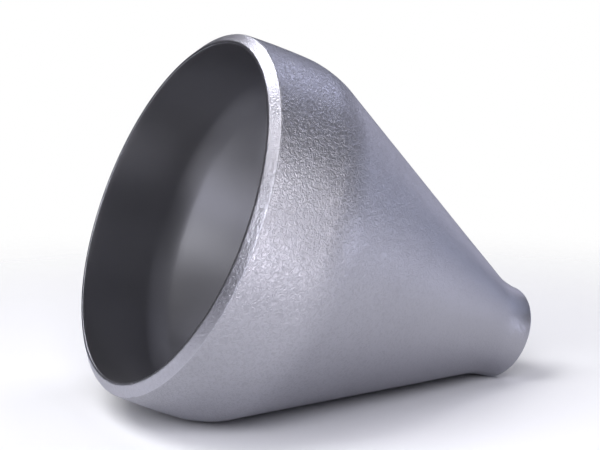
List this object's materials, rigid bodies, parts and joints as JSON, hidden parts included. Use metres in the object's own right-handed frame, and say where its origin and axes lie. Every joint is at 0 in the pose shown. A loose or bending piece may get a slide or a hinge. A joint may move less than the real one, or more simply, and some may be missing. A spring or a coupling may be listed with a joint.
{
  "type": "concentric pipe reducer",
  "caption": "Concentric butt-weld steel pipe reducer: bevelled large collar, rounded knuckle, straight cone, flared-in short neck with bevel, open right through.",
  "frame": {"origin": "centre of the large end face, which the reducer stands on", "axes": "+Z along the flow axis, from the large end to the small end"},
  "size_m": [0.0775, 0.0774, 0.09],
  "materials": {
    "reducer_body": "matte shot-blasted steel with a fine pebbled grain"
  },
  "bodies": {
    "root": {"reducer_body": "reducer_body"}
  },
  "joints": []
}
